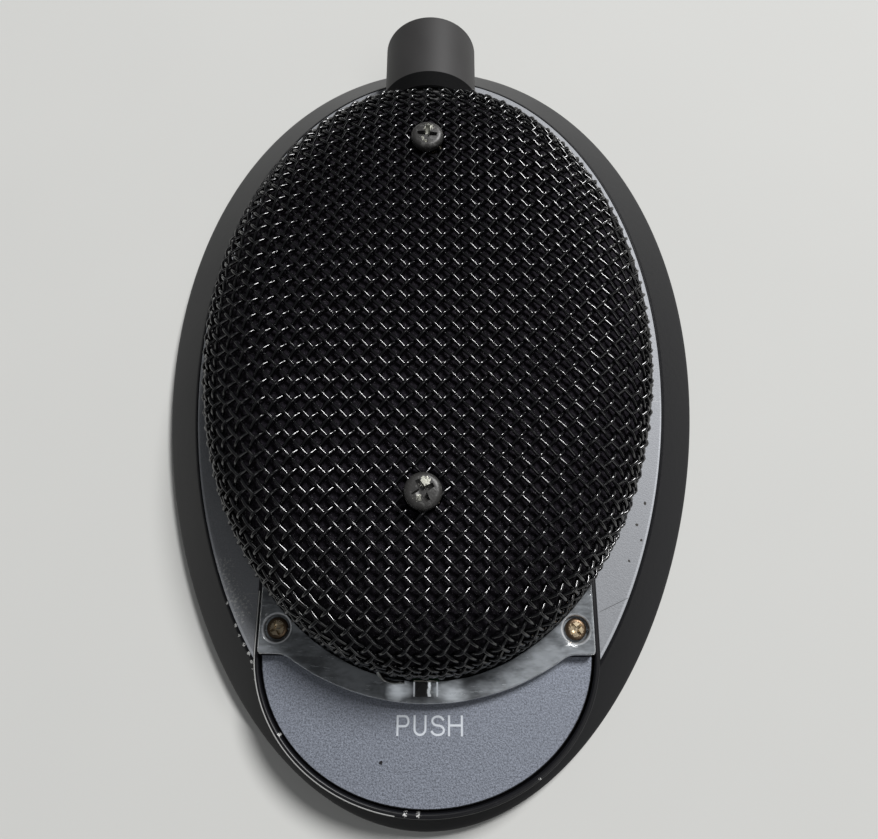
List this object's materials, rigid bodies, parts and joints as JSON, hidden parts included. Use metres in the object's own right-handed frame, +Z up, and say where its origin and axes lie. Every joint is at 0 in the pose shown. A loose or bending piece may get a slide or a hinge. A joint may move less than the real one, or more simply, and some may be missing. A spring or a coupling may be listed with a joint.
{
  "type": "boundary microphone",
  "caption": "Oval tabletop boundary microphone with a low woven-wire dome, a push pad that rocks on two pins, a clear light pipe and a three-contact rear connector.",
  "frame": {"origin": "centre of the oval base on the surface it stands on", "axes": "+Y along the base towards the connector, +Z up, +X to the right seen from the push pad"},
  "size_m": [0.1032, 0.157, 0.0299],
  "materials": {
    "cast_black": "black lacquer on cast metal, satin",
    "plate_grey": "grey enamel on sheet metal, satin",
    "steel": "plain steel sheet",
    "rubber": "black rubber, matt",
    "screw_black": "blackened steel",
    "screw_bronze": "bronzed steel, dull",
    "screw_steel": "nickel plated steel",
    "wire_black": "glossy black lacquer on woven wire",
    "foam": "open-cell black foam",
    "brass_plated": "nickel plated brass",
    "clear_acrylic": "clear moulded acrylic",
    "board_green": "green solder mask",
    "led_body": "milky lens",
    "pad_black": "moulded black plastic",
    "label_grey": "fine-grained bluish grey",
    "silicone": "grey silicone",
    "switch_black": "moulded black plastic",
    "switch_cream": "moulded plastic",
    "switch_white": "moulded white plastic",
    "fish_paper": "insulating sheet",
    "core_steel": "varnished laminations",
    "winding_copper": "enamelled copper wire under tape",
    "capacitor_sleeve": "shrunk plastic sleeve",
    "chip_black": "moulded epoxy",
    "resistor_dark": "glazed ceramic",
    "header_white": "nylon",
    "capsule_metal": "turned aluminium",
    "cap_dark": "moulded plastic",
    "cradle_rubber": "soft moulded rubber",
    "wire_red": "wire insulation",
    "wire_yellow": "wire insulation",
    "barrel_dark": "dark satin plating",
    "insert_black": "moulded phenolic",
    "contact_plated": "silver plated contact",
    "clamp_steel": "bent steel strip"
  },
  "bodies": {
    "root": {"base_housing": "cast_black", "top_plate": "plate_grey", "bottom_plate": "steel", "foot_pad": "rubber", "bottom_screws": "screw_black", "mesh_dome": "wire_black", "foam_liner": "foam", "front_standoff": "brass_plated", "rear_standoff": "brass_plated", "dome_screws": "screw_black", "standoff_screws": "screw_steel", "light_pipe": "clear_acrylic", "light_pipe_screws": "screw_bronze", "led_board": "board_green", "status_led": "led_body", "hinge_pins": "screw_steel", "return_pads": "silicone", "push_switch_body": "switch_black", "circuit_board": "board_green", "board_insulator": "fish_paper", "small_screws": "screw_steel", "mode_switch_body": "switch_black", "output_transformer": "core_steel", "transformer_winding": "winding_copper", "coupling_capacitors": "capacitor_sleeve", "preamp_chip": "chip_black", "board_resistors": "resistor_dark", "lead_header": "header_white", "capsule_body": "capsule_metal", "capsule_cap": "cap_dark", "capsule_cradle": "cradle_rubber", "capsule_leads": "wire_red", "connector_barrel": "barrel_dark", "connector_insert": "insert_black", "contact_pins": "contact_plated", "connector_leads": "wire_yellow", "barrel_grommet": "rubber", "barrel_clamp": "clamp_steel"},
    "paddle": {"push_paddle": "pad_black", "paddle_label": "label_grey"},
    "plunger": {"switch_plunger": "switch_cream"},
    "slider": {"mode_slider": "switch_white"}
  },
  "joints": [
    {"name": "paddle_press", "type": "hinge", "parent": "root", "child": "paddle", "pos_m": [0, -0.0487, 0.00595], "axis": [1, 0, 0], "range_deg": [0, 1.95], "stiffness_Nm_per_rad": 0.6, "springref_deg": -0.57, "deforming": ["return_pads"]},
    {"name": "plunger_travel", "type": "slide", "parent": "root", "child": "plunger", "axis": [0, 0, -1], "range_m": [0, 0.00055]},
    {"name": "mode_slide", "type": "slide", "parent": "root", "child": "slider", "axis": [1, 0, 0], "range_m": [-0.0015, 0.0015]}
  ],
  "couplings": [
    {"joint": "plunger_travel", "follows": "paddle_press", "m_per_rad": 0.0143}
  ]
}
